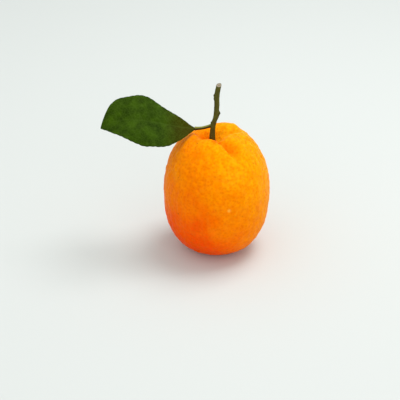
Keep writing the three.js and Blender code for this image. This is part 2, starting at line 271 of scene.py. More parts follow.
# %% The outline's sizes
SEAT_HEIGHT = box_mm("calyx")[0][2]  # the dimple's flat floor
FRUIT_RADIUS = 29.6
WIDEST_HEIGHT = 36.5
CROWN_RISE = 39.0  # to the pole, if there were no dimple
BASE_SQUARENESS = 2.6  # 2 would be an ellipse
FLAT_SPOT_RADIUS = 9.5
FLAT_SPOT_BLEND = 7.0
DIMPLE_CENTRE = np.array([-2.3, 0.5])
DIMPLE_DEPTH = 12.0
DIMPLE_RADIUS = 8.0
DIMPLE_POWER = 2.3  # 2 would be a plain bump
SEAT_RADIUS = 2.8
SEAT_BLEND = 2.6
OFF_CENTRE_FROM, OFF_CENTRE_TO = SEAT_RADIUS + 1, 20.0  # radii where the crown's shift fades
BASE_STEPS, CROWN_STEPS = 600, 900


def dimple_share(radius):
    """1 in the dimple's middle and 0 outside: a bump with a power of its own."""
    return np.exp(-((radius / DIMPLE_RADIUS) ** DIMPLE_POWER))


def off_seat(radius):
    """0 on the dimple's flat floor and 1 beyond it."""
    return smoothstep(radius, SEAT_RADIUS, SEAT_RADIUS + SEAT_BLEND)


def crown_height(radius):
    """Half an ellipse over the widest ring, less the dimple's soft funnel."""
    dome = WIDEST_HEIGHT + CROWN_RISE * np.sqrt(1 - (radius / FRUIT_RADIUS) ** 2)
    return dome - DIMPLE_DEPTH * dimple_share(radius)


def lower_outline(steps):
    """Radius and height from the flat spot's rim up to the widest ring.

    They follow one angle: its cosine and its sine, each to the power of 2 over the squareness.
    """
    power = 2 / BASE_SQUARENESS
    flat_share = (FLAT_SPOT_RADIUS / FRUIT_RADIUS) ** BASE_SQUARENESS
    drop = WIDEST_HEIGHT / (1 - flat_share) ** (1 / BASE_SQUARENESS)
    foot_angle = np.arcsin((WIDEST_HEIGHT / drop) ** (1 / power))
    angle = np.linspace(foot_angle, 0, steps)
    return FRUIT_RADIUS * np.cos(angle) ** power, WIDEST_HEIGHT - drop * np.sin(angle) ** power


def rind_outline(rows):
    """Radius and height from the underside's centre to the dimple's floor, evenly spread."""
    low_radius, low_height = lower_outline(BASE_STEPS)
    angle = np.linspace(0, np.arccos(SEAT_RADIUS / FRUIT_RADIUS), CROWN_STEPS)
    high_radius = FRUIT_RADIUS * np.cos(angle)
    radius = np.concatenate([[0], low_radius, high_radius, [0]])
    height = np.concatenate([[0], low_height, crown_height(high_radius), [SEAT_HEIGHT]])
    radius, height = spread_evenly(radius, height, rows + 2)
    return radius[1:-1], height[1:-1]


print("dimple floor at", round(float(SEAT_HEIGHT), 2), "mm, by formula",
      round(float(crown_height(SEAT_RADIUS)), 2))

# %% [markdown]
# ## Creases, shoulders and ribs
# Under the peel lie about nine segments, and where the peel is loose it sinks between them.
# The deepest creases run out of the dimple: one long one at the front right with a sharp near
# wall, and one towards the back right. Two small nicks on either side of the twig's foot leave
# a knob between them. Each crease is a soft trough along a line that swings a little round the
# fruit. Broad swellings of the shoulder and a slow unevenness come on top. How much painted
# shade each point gets in the folds is kept as well, so that the rind's material can darken
# the folds with it later.

# %% How far the rind stands out of the turned shape
CREASES = [
    # azimuth and swing in degrees, then millimetres: depth, two wall widths, peak, reach
    dict(azimuth=-65.6, swing=6, depth=3.8, near=1.9, far=4.2, peak=15.5, reach=4.8),
    dict(azimuth=-76, swing=-4, depth=1.7, near=0.9, far=1.2, peak=10.2, reach=2.3),
    dict(azimuth=-128, swing=0, depth=1.2, near=1.3, far=1.0, peak=6.6, reach=2.2),
    dict(azimuth=18, swing=13, depth=2.9, near=3.0, far=3.0, peak=11.5, reach=4.8),
    dict(azimuth=158, swing=6, depth=2.0, near=4.0, far=2.4, peak=8.0, reach=5.0),
    dict(azimuth=100, swing=0, depth=0.9, near=2.6, far=2.6, peak=9.0, reach=6.0),
    dict(azimuth=-150, swing=0, depth=0.6, near=2.4, far=2.4, peak=10.0, reach=5.0),
]
SHOULDERS = [
    dict(azimuth=130, spread=44, rise=-2.4, peak=10.0, reach=8.0),
    dict(azimuth=54, spread=20, rise=1.1, peak=14.5, reach=5.0),
    dict(azimuth=-102, spread=24, rise=2.0, peak=7.5, reach=3.4),
    dict(azimuth=-22, spread=26, rise=1.6, peak=7.0, reach=3.0),
    dict(azimuth=175, spread=30, rise=0.5, peak=22.0, reach=5.0),
]
RIB_COUNT, RIB_RELIEF, RIB_PEAK, RIB_REACH = 9, 0.18, 14.0, 8.0
UNEVENNESS = 0.15
SLOW_WAVES = [  # how many round the fruit and their phase, millimetres per radian up it and phase
    (3, -2.3, 11, 2.7 + math.pi / 2),
    (2, -1.1, 14, 2.1),
]


def crease_trough(crease, azimuth, radius):
    """Depth of one crease: a hill across its line times a hill along it."""
    along = (radius - crease["peak"]) / crease["reach"]
    line = crease["azimuth"] + crease["swing"] * along
    across = np.radians(turn_between(line, azimuth)) * radius
    width = np.where(across < 0, crease["near"], crease["far"])
    return crease["depth"] * bump(across, width) * bump(along, 1)


def all_creases(azimuth, radius):
    """Depth of all creases together."""
    return sum(crease_trough(crease, azimuth, radius) for crease in CREASES)


def crown_relief(azimuth, radius):
    """Ribs, less all creases, plus all shoulders, as heights out of the crown."""
    ribs = RIB_RELIEF * np.cos(np.radians(azimuth) * RIB_COUNT)
    ribs = ribs * bump(radius - RIB_PEAK, RIB_REACH)
    return ribs - all_creases(azimuth, radius) + hills(SHOULDERS, azimuth, radius)


def rind_relief(azimuth, radius, height):
    """Slow waves over the whole fruit, and the crown's relief above the widest ring.

    A slow wave is a sine round the fruit times a sine up it. Both reliefs fade out at the
    dimple's floor and at the flat spot, which stay flat.
    """
    turn, climb = np.radians(azimuth), height - WIDEST_HEIGHT
    uneven = UNEVENNESS * sum(
        np.sin(count * turn + start) * np.sin(climb / length + phase)
        for count, start, length, phase in SLOW_WAVES
    )
    lower = uneven * smoothstep(height, 0, FLAT_SPOT_BLEND)
    upper = (uneven + crown_relief(azimuth, radius)) * off_seat(radius)
    return np.where(climb <= 0, lower, upper)


# %% Painted shade in the folds
# Painted shade: the rind is darkened in the creases, on the dimple's wall away from the light, at
# the front-left rim and at two spots by the twig's foot where shade falls.
SHADE_PER_MM, DIMPLE_SHADE, SHADE_OFFSET = 0.18, 0.7, 0.1
LIT_WALL = 30  # azimuth of the dimple's wall that keeps the peel's own tint
PAINTED_SHADE_SPOTS = [  # rim at the front left, notch right of the twig's foot, wall behind the twig
    dict(azimuth=-140, spread=75, rise=0.32, peak=11.0, reach=4.5),
    dict(azimuth=-86, spread=8, rise=1.0, peak=10.6, reach=1.6),
    dict(azimuth=118, spread=40, rise=0.5, peak=5.0, reach=2.2),
]


def painted_crease_shade(azimuth, radius, height):
    """How much painted shade a point of the crown gets, from 0 to 1.

    It adds up the creases' depth, the dimple's wall away from the lit one, and the three spots.
    """
    away = 0.5 - 0.5 * np.cos(np.radians(azimuth - LIT_WALL))
    shade = SHADE_PER_MM * all_creases(azimuth, radius) + hills(PAINTED_SHADE_SPOTS, azimuth, radius)
    shade = shade + DIMPLE_SHADE * dimple_share(radius) * away - SHADE_OFFSET
    return np.clip(shade, 0, 1) * (height > WIDEST_HEIGHT)


print("deepest crease:", max(crease["depth"] for crease in CREASES), "mm")

# %% [markdown]
# ## Pits, puckers and the blossom scar
# The rind's skin is full of oil glands. Each makes a shallow pit, about every two millimetres
# the larger ones, and the peel is a little puffy and pebbly between them. Loose peel also
# sags into soft upright folds on the flanks. Round the calyx the peel is drawn in by fine
# puckers, and underneath it is slightly hollow round the small brown scar where the blossom's
# style fell off. These are real relief: they catch the light at the edge.

# %% Fine relief of the rind
PIT_SPACING, PIT_WIDTH, PIT_DEPTH = 2.2, 0.75, 0.28
SMALL_PIT_SPACING, SMALL_PIT_WIDTH, SMALL_PIT_DEPTH = 1.25, 0.42, 0.05
PUFF_SIZE, PUFF_RISE = 4.6, 0.16
PEBBLE_SIZE, PEBBLE_RISE = 2.0, 0.15
FOLD_WIDTH, FOLD_RISE, FOLD_STRETCH = 1.9, 0.18, 5.0
PUCKERS, PUCKER_RISE, PUCKER_RADIUS, PUCKER_REACH = 26, 0.16, 6.0, 2.6
PUCKER_SWERVE, PUCKER_SWERVES = 1.3, 3  # the puckers stand closer at three places
HOLLOW_RADIUS, HOLLOW_RISE = 5.6, 0.9
SCAR_RADIUS, SCAR_RISE, SCAR_EDGE = 1.5, 0.3, 0.4
SCAR_DIP, SCAR_DIP_RADIUS = 0.2, 0.5
UNDERSIDE_TOP, CALM_TOP = 0.5 * FLAT_SPOT_BLEND, 0.4 * FLAT_SPOT_BLEND


def pits(points):
    """Depth of the oil glands' pits: hills of the distance to two scatters of seeds."""
    large = PIT_DEPTH * bump(nearest_seed(points, PIT_SPACING, 11), PIT_WIDTH)
    small = SMALL_PIT_DEPTH * bump(nearest_seed(points, SMALL_PIT_SPACING, 12), SMALL_PIT_WIDTH)
    return large + small


def puffs(points):
    """The peel's soft swellings between its glands: slow noise of two sizes."""
    puff = PUFF_RISE * slow_noise(points, PUFF_SIZE, 13)
    return puff + PEBBLE_RISE * slow_noise(points, PEBBLE_SIZE, 15)


def flank_folds(points):
    """Faint folds that run up and down the flanks: noise in a space squeezed along Z."""
    return FOLD_RISE * slow_noise(points * [1, 1, 1 / FOLD_STRETCH], FOLD_WIDTH, 14)


def puckers(azimuth, radius, height):
    """Fine radial folds round the calyx: a cosine round the dimple, strongest on its wall."""
    turn = np.radians(azimuth)
    fold = np.cos(turn * PUCKERS + PUCKER_SWERVE * np.sin(turn * PUCKER_SWERVES))
    on_crown = height > WIDEST_HEIGHT
    return PUCKER_RISE * fold * bump(radius - PUCKER_RADIUS, PUCKER_REACH) * on_crown


def underside_rise(radius, height):
    """How far the underside lifts off the table: a soft hollow with the scar's button in it."""
    button = SCAR_RISE * smoothstep(SCAR_RADIUS - radius, 0, SCAR_EDGE)
    button = button - SCAR_DIP * bump(radius, SCAR_DIP_RADIUS)
    return (HOLLOW_RISE * bump(radius, HOLLOW_RADIUS) ** 2 - button) * (height < UNDERSIDE_TOP)


# %% The rind
RIND_ROWS, RIND_COLUMNS = 254, 380


def rind_rings():
    """The whole outer skin, and how much painted shade each of its points gets in the folds.

    The turned outline is moved out from the fruit's core by its relief, shifted at the crown so
    that the dimple sits off centre, then pitted along its normals.
    """
    radius, height = rind_outline(RIND_ROWS)
    azimuth = azimuths(RIND_COLUMNS)
    cosine, sine = azimuths_out(RIND_COLUMNS)
    rings = places(radius * cosine, radius * sine, height)
    arrows = rings - np.array([0, 0, WIDEST_HEIGHT])
    arrows = arrows / np.linalg.norm(arrows, axis=-1, keepdims=True)
    pucker = puckers(azimuth, radius, height) * off_seat(radius)
    relief = rind_relief(azimuth, radius, height) + pucker
    rings = rings + arrows * relief[..., None]
    on_crown = height > WIDEST_HEIGHT
    shift = (1 - smoothstep(radius, OFF_CENTRE_FROM, OFF_CENTRE_TO)) * on_crown
    rings[..., :2] += shift[..., None] * DIMPLE_CENTRE
    calm = np.where(on_crown, off_seat(radius), smoothstep(height, 0, CALM_TOP))
    fine = puffs(rings) + flank_folds(rings) - pits(rings)
    rings = rings + outward(rings) * (fine * calm)[..., None]
    rings[..., 2] += underside_rise(radius, height)
    return rings, painted_crease_shade(azimuth, radius, height)


rings, shade = rind_rings()
seat_centre = [*DIMPLE_CENTRE, SEAT_HEIGHT]
rind = closed_skin("rind", rings, [0, 0, HOLLOW_RISE - SCAR_RISE + SCAR_DIP], seat_centre)
# painted shade for the folds, read by the rind's material
paint_values(rind, "painted_fold_shade", shade, tip=shade.max())
print("rind from", rings.min((0, 1)).round(2), "to", rings.max((0, 1)).round(2))

# %% [markdown]
# ## The calyx
# Where the fruit hangs from the twig, five dried sepals are left as a small star that lies on
# the dimple's floor. It is a flat turned shape whose rim runs out into five blunt lobes; ribs
# run out along them and their tips curl up as they dry. A star cut from a disc would look
# stamped, so the lobes are pulled out of a round skin by a cosine of five waves.

# %% The calyx star
CALYX_LOBES, CALYX_REACH, CALYX_LOBE_DEPTH = 5, 2.1, 0.25
LOBE_START, CALYX_HEIGHT, CALYX_PHASE = 1.785, 1.2, 0.6
CALYX_RIBS, CALYX_RIB_RISE, TIP_CURL, CURL_START = 25, 0.07, 0.3, 0.2
CALYX_ROWS, CALYX_COLUMNS = 44, 160
CALYX_PROFILE = np.array([  # shares of the reach and of the height, from below to the top
    [0.3, 0], [1, 0], [1.02, 0.3], [0.88, 0.55], [0.81, 1], [0.4, 1],
])


def calyx_rings():
    """A turned profile stretched to five lobes, with ribs and curled tips on its upper side."""
    profile = CALYX_PROFILE * [CALYX_REACH, CALYX_HEIGHT]
    radius, height = spread_evenly(profile[:, 0], profile[:, 1], CALYX_ROWS)
    turn = np.radians(azimuths(CALYX_COLUMNS))
    wave = np.cos(CALYX_LOBES * turn + CALYX_PHASE)
    outer = smoothstep(radius, LOBE_START, CALYX_REACH)
    spread = radius * (1 + CALYX_LOBE_DEPTH * outer * wave)
    upper = smoothstep(height, 0, 0.25 * CALYX_HEIGHT)
    rib = CALYX_RIB_RISE * np.cos(CALYX_RIBS * turn + np.sin(CALYX_LOBES * turn)) * outer * upper
    curl = TIP_CURL * outer * smoothstep(wave, CURL_START, 1)
    star = places(spread * np.cos(turn), spread * np.sin(turn), height + rib + curl)
    return star + seat_centre


calyx_top = [*DIMPLE_CENTRE, SEAT_HEIGHT + CALYX_HEIGHT]
calyx = closed_skin("calyx_star", calyx_rings(), seat_centre, calyx_top)

# %% [markdown]
# ## The twig
# The twig is a year-old citrus shoot: green-brown, faintly angular, with a swelling for each
# leaf that it carried and one cushion that still carries a leaf stalk. It is a stack of rings
# along a line that bends a little. Its radius is the sum of a flared foot, a heel below the
# leaf, the knots, three flat sides, small warts, and fine wrinkles that are stretched along
# it. The cushion is cut flat where the leaf stalk starts. The twig was cut off at a slant, and
# the cut face is part of the same skin, so bark and wood meet without a gap.

# %% The twig's line and radius
STEM_HEIGHT = 33.0
STEM_RADIUS = 1.4
STEM_FLARE, FLARE_LENGTH = 0.25, 1.4
STEM_WAIST, WAIST_HEIGHT, WAIST_LENGTH = 0.08, 13, 3
STALK_START = box_mm("leaf_stalk")[1][0]  # X of the face between twig and leaf stalk
HEEL_REACH, HEEL_BELOW_CUSHION = 1.3, (5.5, 8.4)  # how far the heel may pass that face
STEM_LINE = smooth_line([
    [*DIMPLE_CENTRE, 0],
    [-2.3, 0.5, 8],
    [-1.5, 0.6, 12],
    [-0.65, 0.9, 15.4],
    [-0.15, 1.3, 20.7],
    [0.0, 1.8, 27.5],
    [0.95, 2.0, STEM_HEIGHT],
])
KNOTS = [  # the heel, the cushion that carries the leaf stalk, then old leaf scars
    dict(azimuth=180, spread=60, rise=0.4, peak=2.8, reach=2.6),
    dict(azimuth=180, spread=50, rise=0.8, peak=10.0, reach=1.5),
    dict(azimuth=5, spread=60, rise=0.4, peak=15.0, reach=1.8),
    dict(azimuth=-5, spread=60, rise=0.8, peak=17.0, reach=1.1),
    dict(azimuth=80, spread=50, rise=0.6, peak=22.0, reach=1.1),
    dict(azimuth=170, spread=45, rise=0.4, peak=25.2, reach=0.8),
    dict(azimuth=185, spread=45, rise=0.5, peak=27.1, reach=0.8),
]


def twig_radius(height, azimuth):
    """Foot flare and waist round the twig, plus the knots on their own sides."""
    flare = STEM_FLARE * np.exp(-height / FLARE_LENGTH)
    waist = STEM_WAIST * bump(height - WAIST_HEIGHT, WAIST_LENGTH)
    return STEM_RADIUS + flare - waist + hills(KNOTS, azimuth, height)


print("twig line:", len(STEM_LINE), "points up to", STEM_LINE[-1].round(1))

# %% The twig's skin
TWIG_ROWS, TWIG_COLUMNS, CUT_ROWS = 240, 72, 12
BARK_SIDES, BARK_SIDE_RELIEF, BARK_TWIST = 3, 0.05, 9  # the last in millimetres per radian
WRINKLE_RISE, WRINKLE_SIZE, WRINKLE_STRETCH = 0.06, 0.9, (3, 3, 0.25)
WART_RISE, WART_SPACING, WART_WIDTH, WART_STRETCH = 0.1, 1.7, 0.3, (1, 1, 0.6)
CUT_SLOPE_X, CUT_SLOPE_Y, CUT_BLEND = 0.12, 0.4, 1.5
CUT_RING_SHARES = (0.97, 0.06)  # of the radius, at the first and the last ring of the cut
PITH_RADIUS, PITH_DENT = 0.3, 0.12


def bark_relief(height, azimuth):
    """Three flat sides, wrinkles stretched along the twig, and small warts scattered on it."""
    turn = np.radians(azimuth)
    sides = BARK_SIDE_RELIEF * np.cos(BARK_SIDES * turn + height / BARK_TWIST)
    bark = places(np.cos(turn), np.sin(turn), height)
    wrinkles = slow_noise(bark * WRINKLE_STRETCH, WRINKLE_SIZE, 21)
    warts = bump(nearest_seed(bark * WART_STRETCH, WART_SPACING, 22), WART_WIDTH)
    return sides + WRINKLE_RISE * wrinkles + WART_RISE * warts


def twig_rings():
    """Rings up the twig, then rings that close in over the slanted cut to its pith."""
    up = np.linspace(0, STEM_HEIGHT, TWIG_ROWS)
    height = np.append(up, np.full(CUT_ROWS, STEM_HEIGHT))[:, None]
    share = np.append(np.ones(TWIG_ROWS), np.linspace(*CUT_RING_SHARES, CUT_ROWS))[:, None]
    azimuth = azimuths(TWIG_COLUMNS)
    cosine, sine = azimuths_out(TWIG_COLUMNS)
    radius = (twig_radius(height, azimuth) + bark_relief(height, azimuth)) * share
    near_cut = smoothstep(height, STEM_HEIGHT - CUT_BLEND, STEM_HEIGHT)
    slant = radius * (CUT_SLOPE_X * cosine + CUT_SLOPE_Y * sine) * near_cut
    dent = PITH_DENT * bump(radius, PITH_RADIUS) * (share < 1)
    x = read_line(STEM_LINE, 2, height, 0) + radius * cosine
    y = read_line(STEM_LINE, 2, height, 1) + radius * sine
    flat = STALK_START - HEEL_REACH * (1 - smoothstep(height, *HEEL_BELOW_CUSHION))
    rings = places(np.maximum(x, flat), y, height + slant - dent)
    return rings + [0, 0, calyx_top[2]], np.broadcast_to(share, radius.shape), height


rings, ring_share, ring_height = twig_rings()
twig = closed_skin("twig", rings, calyx_top)
on_cut = np.broadcast_to(np.arange(len(rings))[:, None] >= TWIG_ROWS, ring_share.shape)
paint_values(twig, "cut_face", on_cut.astype(float), tip=1.0)
paint_values(twig, "out_from_pith", ring_share, foot=1.0)
paint_values(twig, "knot", hills(KNOTS, azimuths(TWIG_COLUMNS), ring_height))

# %% [markdown]
# ## The side bud
# In the angle between twig and leaf stalk sits next year's shoot, a pointed bud, not quite two
# millimetres long, that is wrapped in scales. It is a small turned shape; its scales are steps
# that climb round it in a spiral. It leans away from the twig and its foot is sunk into the
# bark.

# %% The bud
BUD_LENGTH, BUD_RADIUS, BUD_LEAN = 1.8, 0.6, math.radians(24)
BUD_SCALES, BUD_SCALE_STEP = 3, 0.12
BUD_BELLY, BUD_FULLNESS = 0.62, 0.8  # powers: under 1 they move the belly down and round it
BUD_ROWS, BUD_COLUMNS = 36, 40
STALK_HEIGHT = 75.2  # where the leaf stalk meets the twig
BUD_FOOT = np.array([STALK_START + 0.7, DIMPLE_CENTRE[1], STALK_HEIGHT + 0.8])


def bud_rings():
    """A pear-shaped profile with a step at each scale's edge, leaned over about Y."""
    along = np.linspace(0.02, 0.98, BUD_ROWS)[:, None]
    turn = np.radians(azimuths(BUD_COLUMNS))
    body = np.sin(np.pi * along**BUD_BELLY) ** BUD_FULLNESS
    spiral = (along * BUD_SCALES + turn / (2 * np.pi)) % 1
    radius = BUD_RADIUS * body * (1 - BUD_SCALE_STEP * spiral)
    x, y = radius * np.cos(turn), radius * np.sin(turn)
    z = np.broadcast_to(BUD_LENGTH * along, x.shape)
    lean = [x * math.cos(BUD_LEAN) - z * math.sin(BUD_LEAN), y,
            x * math.sin(BUD_LEAN) + z * math.cos(BUD_LEAN)]
    return np.stack(lean, axis=-1) + BUD_FOOT


bud = closed_skin("side_bud", bud_rings())

# %% [markdown]
# ## The leaf stalk
# The stalk that carries the blade is round below and has a shallow channel on top. It sags a
# little in the middle and thickens into a collar at both ends, where it meets the twig's
# cushion and the blade. It is a stack of rings again, laid along -X. Each ring's radius loses
# a little at the top to make the channel.

# %% The stalk
STALK_END = box_mm("leaf_stalk")[0][0]
STALK_RADIUS, STALK_DROP, STALK_SAG = 0.9, 1.5, 0.45
COLLAR_AT_TWIG, TWIG_COLLAR_FADE = 0.22, 7  # rise, and how fast it fades along the stalk
COLLAR_AT_BLADE, BLADE_COLLAR_FADE = 0.3, 9
CHANNEL_DEPTH, CHANNEL_SPREAD = 0.14, 34
GRAIN_RISE, GRAIN_SIZE, GRAIN_STRETCH = 0.03, 0.5, (2, 2, 4)
STALK_ROWS, STALK_COLUMNS = 90, 48
BLADE_JOINT = np.array([STALK_END, 0, STALK_HEIGHT - STALK_DROP])


def stalk_rings():
    """Rings from the twig to the blade, with collars at both ends and a channel on top.

    The azimuth runs round the stalk's own axis, with 90 degrees at its upper side.
    """
    along = np.linspace(0, 1, STALK_ROWS)[:, None]
    cosine, sine = azimuths_out(STALK_COLUMNS)
    collars = COLLAR_AT_TWIG * np.exp(-along * TWIG_COLLAR_FADE)
    collars = collars + COLLAR_AT_BLADE * np.exp(-(1 - along) * BLADE_COLLAR_FADE)
    channel = CHANNEL_DEPTH * bump(turn_between(90, azimuths(STALK_COLUMNS)), CHANNEL_SPREAD)
    grain = slow_noise(places(cosine, sine, along) * GRAIN_STRETCH, GRAIN_SIZE, 31)
    radius = STALK_RADIUS + collars - channel * np.sin(np.pi * along) ** 0.5 + GRAIN_RISE * grain
    x = STALK_START + (STALK_END - STALK_START) * along
    y = DIMPLE_CENTRE[1] * (1 - along) - radius * cosine
    z = STALK_HEIGHT - STALK_DROP * along - STALK_SAG * np.sin(np.pi * along) + radius * sine
    return places(x, y, z), np.broadcast_to(sine, radius.shape)


rings, upper_side = stalk_rings()
stalk = closed_skin("petiole", rings)
paint_values(stalk, "upper_side", upper_side)

# %% [markdown]
# ## The leaf blade
# The blade hangs out to the left with its upper face turned up and to the front. Its midrib
# arches and droops at the tip, its halves fold up from the midrib and turn down again, and its
# margins wave. A skin that runs over the upper face and back underneath gives it a real
# thickness and a rounded rim. The veins are worked out in the leaf's own measure, as the
# distance from lines that leave the midrib and bend towards the tip; the same numbers sink
# them into the upper face, raise them underneath, and later tint them.

# %% The blade's own axes and outline
BLADE_LENGTH = STALK_END - box_mm("leaf_blade")[0][0]
BLADE_TILT = math.radians(58)
UPHILL = np.array([0, math.sin(BLADE_TILT), math.cos(BLADE_TILT)])
UPPER_FACE = np.array([0, -math.cos(BLADE_TILT), math.sin(BLADE_TILT)])
BLADE_FOLD, BLADE_ARCH, FLAT_BASE = 0.17, 0.0125, 0.12
BLADE_WAVE, WAVE_TURN, DOWNHILL_PHASE = 0.7, 15, 1.9  # rise, radians along the blade, phase
TOOTH_COUNT, TOOTH_DEPTH = 17, 0.22
MIDRIB = smooth_line([  # share of the length, then Y and Z from the joint
    [0, 0, 0],
    [0.12, -0.1, 0.8],
    [0.3, -0.55, 2.7],
    [0.5, -1.2, 5.1],
    [0.7, -2.0, 6.4],
    [0.88, -2.8, 5.3],
    [0.96, -3.2, 3.4],
    [1, -3.4, 2.0],
])
UPHILL_MARGIN = smooth_line([  # share of the length, half width
    [0, 0.6], [0.03, 1.4], [0.2, 6.9], [0.4, 12.6], [0.52, 15.5], [0.6, 16.2],
    [0.7, 15.6], [0.8, 14.8], [0.88, 12.2], [0.94, 8.0], [0.98, 3.4], [1, 0.4],
])
DOWNHILL_MARGIN = smooth_line([
    [0, 0.8], [0.03, 2.6], [0.12, 7.3], [0.2, 10.4], [0.3, 13.9], [0.4, 15.5],
    [0.5, 15.9], [0.6, 14.7], [0.7, 12.8], [0.8, 10.0], [0.88, 7.3], [0.94, 4.2], [1, 0.4],
])


def off_ends(share):
    """Nearly 1 all along the blade, and 0 at both its ends: a sine to a small power."""
    return np.maximum(0, np.sin(np.pi * share)) ** 0.3


def half_width(share, side):
    """Half width towards one side, with a shallow notch between the teeth at the margin."""
    uphill = read_line(UPHILL_MARGIN, 0, share, 1)
    downhill = read_line(DOWNHILL_MARGIN, 0, share, 1)
    notch = 1 - np.abs(np.sin(np.pi * TOOTH_COUNT * share))
    return np.where(side > 0, uphill, downhill) - TOOTH_DEPTH * notch * side**4 * off_ends(share)


def blade_middle(share, side):
    """A point halfway through the blade, and its distance across from the midrib.

    It goes along the midrib, then uphill or downhill, then lifts out of the face by the fold,
    which is straight less a square, and by a wave that grows with the square of side.
    """
    across = np.abs(side) * half_width(share, side)
    fold = BLADE_FOLD * across - BLADE_ARCH * across**2
    phase = np.where(side > 0, 0, DOWNHILL_PHASE)
    wave = BLADE_WAVE * np.sin(WAVE_TURN * share + phase) * side**2 * off_ends(share)
    lift = (fold + wave) * smoothstep(share, 0, FLAT_BASE)
    midrib = places(-share * BLADE_LENGTH, *(read_line(MIDRIB, 0, share, axis) for axis in (1, 2)))
    across = np.sign(side) * across
    offset = across[..., None] * UPHILL + lift[..., None] * UPPER_FACE
    return BLADE_JOINT + midrib + offset, across


print("blade:", round(float(BLADE_LENGTH), 1), "mm long")

# %% Veins
SIDE_VEINS, VEIN_SWEEP, VEIN_BEND = 10, 0.13, 0.09
VEIN_STARTS, VEIN_ENDS = (0.02, 0.1), (0.7, 0.97)  # where they fade in and, across, out
VEIN_WIDTH, MIDRIB_WIDTH = 0.34, 0.5


def vein_strengths(share, side, across):
    """How strongly a point lies on the midrib and on a side vein, from 0 to 1.

    A side vein is where the share along the leaf, less a drift towards the tip that grows with
    the distance across, is a whole number of steps; the two sides are half a step apart.
    """
    reach = np.abs(side)
    drift = VEIN_SWEEP * reach + VEIN_BEND * reach**2
    step = (share - drift) * SIDE_VEINS + np.where(side > 0, 0.5, 0.0)
    nearest = (step - np.round(step)) / SIDE_VEINS * BLADE_LENGTH
    fade = (1 - smoothstep(reach, *VEIN_ENDS)) * smoothstep(share - drift, *VEIN_STARTS)
    side_vein = bump(nearest, VEIN_WIDTH * (1.2 - 0.6 * reach)) * fade
    midrib = bump(across, MIDRIB_WIDTH * (1.3 - share))
    return midrib, side_vein


# %% The blade's skin
BLADE_ROWS, BLADE_COLUMNS = 260, 168
ROW_CROWDING = 0.06  # draws the rows together towards the blade's ends
BLADE_THICKNESS, RIM_ROUNDING = 0.5, 10
MIDRIB_DEPTH, UNDER_VEIN_RISE = 0.45, 0.12
UNDERSIDE_APART = 9  # keeps the two faces' patterns apart in the leaf's own measure
SIDE_VEIN_TINT = 0.6
MIDRIB_CHANNEL, VEIN_GROOVE, PUFF_BETWEEN = 0.16, 0.09, 0.05


def blade_rings():
    """Each ring goes over the upper face and back below, at one place along the midrib.

    The side is the cosine of the angle round the ring. Half the thickness is kept until close
    to the margin, where it rounds off as the root of one less a high power of the side.
    """
    even = np.linspace(0, 1, BLADE_ROWS)[:, None]
    share = even - ROW_CROWDING * np.sin(2 * np.pi * even)
    turn = np.radians(azimuths(BLADE_COLUMNS) + 0.5 * 360 / BLADE_COLUMNS)
    side = -np.cos(turn) + 0 * share
    upper = np.sin(turn) + 0 * share > 0
    middle, across = blade_middle(share, side)
    midrib, side_vein = vein_strengths(share, side, across)
    rim = np.sqrt(1 - np.abs(side) ** RIM_ROUNDING)
    puff = PUFF_BETWEEN * (1 - side_vein) * (1 - midrib) * np.sin(np.pi * share) ** 0.5
    above = BLADE_THICKNESS / 2 + puff - MIDRIB_CHANNEL * midrib - VEIN_GROOVE * side_vein
    below = BLADE_THICKNESS / 2 + UNDER_VEIN_RISE * side_vein
    below = below + MIDRIB_DEPTH * (1 - 0.8 * share) * bump(across, 1.1 - 0.6 * share)
    offset = np.where(upper, above, -below) * rim
    place = places(share * BLADE_LENGTH, across, np.where(upper, 0, UNDERSIDE_APART))
    strength = np.clip(midrib + SIDE_VEIN_TINT * side_vein, 0, 1)
    return middle + offset[..., None] * UPPER_FACE, place, strength, np.abs(side), upper


rings, leaf_place, vein_strength, to_margin, on_upper = blade_rings()
leaf = closed_skin("leaf", rings)
paint_places(leaf, "leaf_place", leaf_place)
paint_values(leaf, "vein", vein_strength)
paint_values(leaf, "to_margin", to_margin, 1.0, 1.0)
paint_values(leaf, "upper_face", on_upper.astype(float))

# %% [markdown]
# ## Tools for materials
# Each material is a small graph of nodes round one Principled shader. A few helpers keep the
# graphs readable: one fills a node's inputs with numbers or links, one adds a node, one tints
# a colour where a mask is, and one takes a colour in the 0 to 255 numbers that a paint program
# shows and gives the linear colour that the shader wants.


# %% Node helpers
def colour(red, green, blue):
    """A screen colour, 0 to 255 each, as the linear colour that shaders use."""
    screen = np.array([red, green, blue]) / 255
    linear = np.where(screen > 0.04045, ((screen + 0.055) / 1.055) ** 2.4, screen / 12.92)
    return (*linear.tolist(), 1.0)


def fill(tree, node, inputs):
    """Fills a node's inputs, given by name or number, with plain values or links."""
    for name, value in inputs.items():
        if isinstance(value, bpy.types.NodeSocket):
            tree.links.new(value, node.inputs[name])
        else:
            node.inputs[name].default_value = value


def add(tree, kind, inputs, **settings):
    """Adds a node, sets its properties, and fills its inputs."""
    node = tree.nodes.new(kind)
    for name, value in settings.items():
        setattr(node, name, value)
    fill(tree, node, inputs)
    return node


def blend_colours(tree, share, first, second):
    """The first colour, or the second where share is 1. A Mix node's colours are 6 and 7."""
    inputs = {0: share, 6: first, 7: second}
    return add(tree, "ShaderNodeMix", inputs, data_type="RGBA").outputs[2]


def calculate(tree, operation, *numbers):
    """One sum: add, multiply and so on, of numbers or links."""
    return add(tree, "ShaderNodeMath", dict(enumerate(numbers)), operation=operation).outputs[0]


def tint(tree, base, mask, share, second):
    """A second colour over the first one, as strong as the mask times a share."""
    return blend_colours(tree, calculate(tree, "MULTIPLY", mask, share), base, second)


